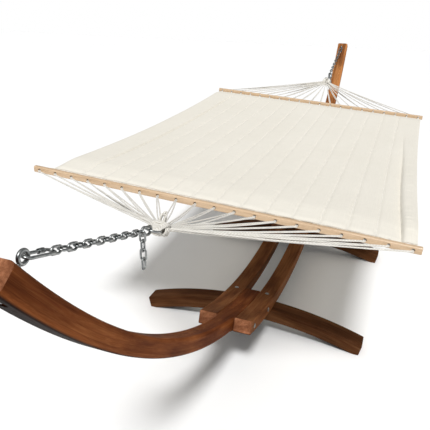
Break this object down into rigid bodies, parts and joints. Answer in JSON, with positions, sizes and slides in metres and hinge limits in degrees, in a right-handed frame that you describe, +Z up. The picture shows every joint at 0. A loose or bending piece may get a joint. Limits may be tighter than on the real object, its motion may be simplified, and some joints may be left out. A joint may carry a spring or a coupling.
{
  "type": "hammock on stand",
  "caption": "Quilted spreader-bar hammock hung by chains between the ends of a free-standing laminated wooden arc stand on arched cross feet.",
  "frame": {"origin": "on the ground, under the middle of the whole object's bounding box", "axes": "+X along the stand from its near end to its far end, +Y to the left side, +Z up"},
  "size_m": [4.0012, 1.3992, 1.1453],
  "materials": {
    "stained_wood": "satin brown stain on laminated larch",
    "pale_wood": "clear satin varnish",
    "zinc_steel": "bright zinc plate",
    "cotton_cord": "twisted cotton-polyester cord",
    "quilt_canvas": "quilted off-white canvas"
  },
  "bodies": {
    "stand": {"far_arm": "stained_wood", "far_eye_bolt": "zinc_steel", "far_eye_nut": "zinc_steel", "far_eye_washer": "zinc_steel", "far_foot": "stained_wood", "far_foot_bolt_left": "zinc_steel", "far_foot_bolt_right": "zinc_steel", "far_foot_nut_left": "zinc_steel", "far_foot_nut_right": "zinc_steel", "far_joint_bolt_1": "zinc_steel", "far_joint_bolt_2": "zinc_steel", "far_joint_nut_1": "zinc_steel", "far_joint_nut_2": "zinc_steel", "near_arm": "stained_wood", "near_eye_bolt": "zinc_steel", "near_eye_nut": "zinc_steel", "near_eye_washer": "zinc_steel", "near_foot": "stained_wood", "near_foot_bolt_left": "zinc_steel", "near_foot_bolt_right": "zinc_steel", "near_foot_nut_left": "zinc_steel", "near_foot_nut_right": "zinc_steel", "near_joint_bolt_1": "zinc_steel", "near_joint_bolt_2": "zinc_steel", "near_joint_nut_1": "zinc_steel", "near_joint_nut_2": "zinc_steel", "side_beam_left": "stained_wood", "side_beam_right": "stained_wood"},
    "hammock": {"far_chain": "zinc_steel", "far_clew": "cotton_cord", "far_clew_ring": "zinc_steel", "far_hem_dowel": "pale_wood", "far_quick_link": "zinc_steel", "far_snap_hook": "zinc_steel", "far_spreader_bar": "pale_wood", "near_chain": "zinc_steel", "near_clew": "cotton_cord", "near_clew_ring": "zinc_steel", "near_hem_dowel": "pale_wood", "near_quick_link": "zinc_steel", "near_snap_hook": "zinc_steel", "near_spreader_bar": "pale_wood", "quilted_bed": "quilt_canvas"},
    "far_quick_link_sleeve": {"far_quick_link_sleeve": "zinc_steel"},
    "far_snap_gate": {"far_snap_gate": "zinc_steel"},
    "far_tail_link_1": {"far_tail_link_1": "zinc_steel"},
    "far_tail_link_2": {"far_tail_link_2": "zinc_steel"},
    "far_tail_link_3": {"far_tail_link_3": "zinc_steel"},
    "far_tail_link_4": {"far_tail_link_4": "zinc_steel"},
    "near_quick_link_sleeve": {"near_quick_link_sleeve": "zinc_steel"},
    "near_snap_gate": {"near_snap_gate": "zinc_steel"},
    "near_tail_link_1": {"near_tail_link_1": "zinc_steel"},
    "near_tail_link_2": {"near_tail_link_2": "zinc_steel"},
    "near_tail_link_3": {"near_tail_link_3": "zinc_steel"},
    "near_tail_link_4": {"near_tail_link_4": "zinc_steel"}
  },
  "joints": [
    {"name": "hammock_swing", "type": "hinge", "parent": "stand", "child": "hammock", "pos_m": [0, -0.025, 1.11716], "axis": [1, 0, 0], "range_deg": [-18, 18]},
    {"name": "near_sleeve_travel", "type": "slide", "parent": "hammock", "child": "near_quick_link_sleeve", "axis": [-0.9445, -0.0285, 0.3273], "range_m": [0, 0.014]},
    {"name": "near_gate_hinge", "type": "hinge", "parent": "hammock", "child": "near_snap_gate", "pos_m": [-1.43873, -0.01256, 0.9685], "axis": [-0.0157, -0.9912, -0.1315], "range_deg": [0, 30], "stiffness_Nm_per_rad": 0.05, "springref_deg": -11.46},
    {"name": "near_tail_swing_1", "type": "hinge", "parent": "hammock", "child": "near_tail_link_1", "pos_m": [-1.48652, -0.01958, 0.97283], "axis": [1, 0, 0], "range_deg": [-35, 25]},
    {"name": "near_tail_swing_2", "type": "hinge", "parent": "near_tail_link_1", "child": "near_tail_link_2", "pos_m": [-1.48652, -0.01958, 0.94773], "axis": [0, 1, 0], "range_deg": [-35, 35]},
    {"name": "near_tail_swing_3", "type": "hinge", "parent": "near_tail_link_2", "child": "near_tail_link_3", "pos_m": [-1.48652, -0.01958, 0.92203], "axis": [1, 0, 0], "range_deg": [-35, 35]},
    {"name": "near_tail_swing_4", "type": "hinge", "parent": "near_tail_link_3", "child": "near_tail_link_4", "pos_m": [-1.48652, -0.01958, 0.89633], "axis": [0, 1, 0], "range_deg": [-35, 35]},
    {"name": "far_sleeve_travel", "type": "slide", "parent": "hammock", "child": "far_quick_link_sleeve", "axis": [0.9338, -0.0282, 0.3567], "range_m": [0, 0.014]},
    {"name": "far_gate_hinge", "type": "hinge", "parent": "hammock", "child": "far_snap_gate", "pos_m": [1.44361, -0.01271, 0.95411], "axis": [-0.0197, 0.9913, 0.13], "range_deg": [0, 30], "stiffness_Nm_per_rad": 0.05, "springref_deg": -11.46},
    {"name": "far_tail_swing_1", "type": "hinge", "parent": "hammock", "child": "far_tail_link_1", "pos_m": [1.49124, -0.01972, 0.95994], "axis": [1, 0, 0], "range_deg": [-35, 25]},
    {"name": "far_tail_swing_2", "type": "hinge", "parent": "far_tail_link_1", "child": "far_tail_link_2", "pos_m": [1.49124, -0.01972, 0.93484], "axis": [0, 1, 0], "range_deg": [-35, 35]},
    {"name": "far_tail_swing_3", "type": "hinge", "parent": "far_tail_link_2", "child": "far_tail_link_3", "pos_m": [1.49124, -0.01972, 0.90914], "axis": [1, 0, 0], "range_deg": [-35, 35]},
    {"name": "far_tail_swing_4", "type": "hinge", "parent": "far_tail_link_3", "child": "far_tail_link_4", "pos_m": [1.49124, -0.01972, 0.88344], "axis": [0, 1, 0], "range_deg": [-35, 35]}
  ]
}
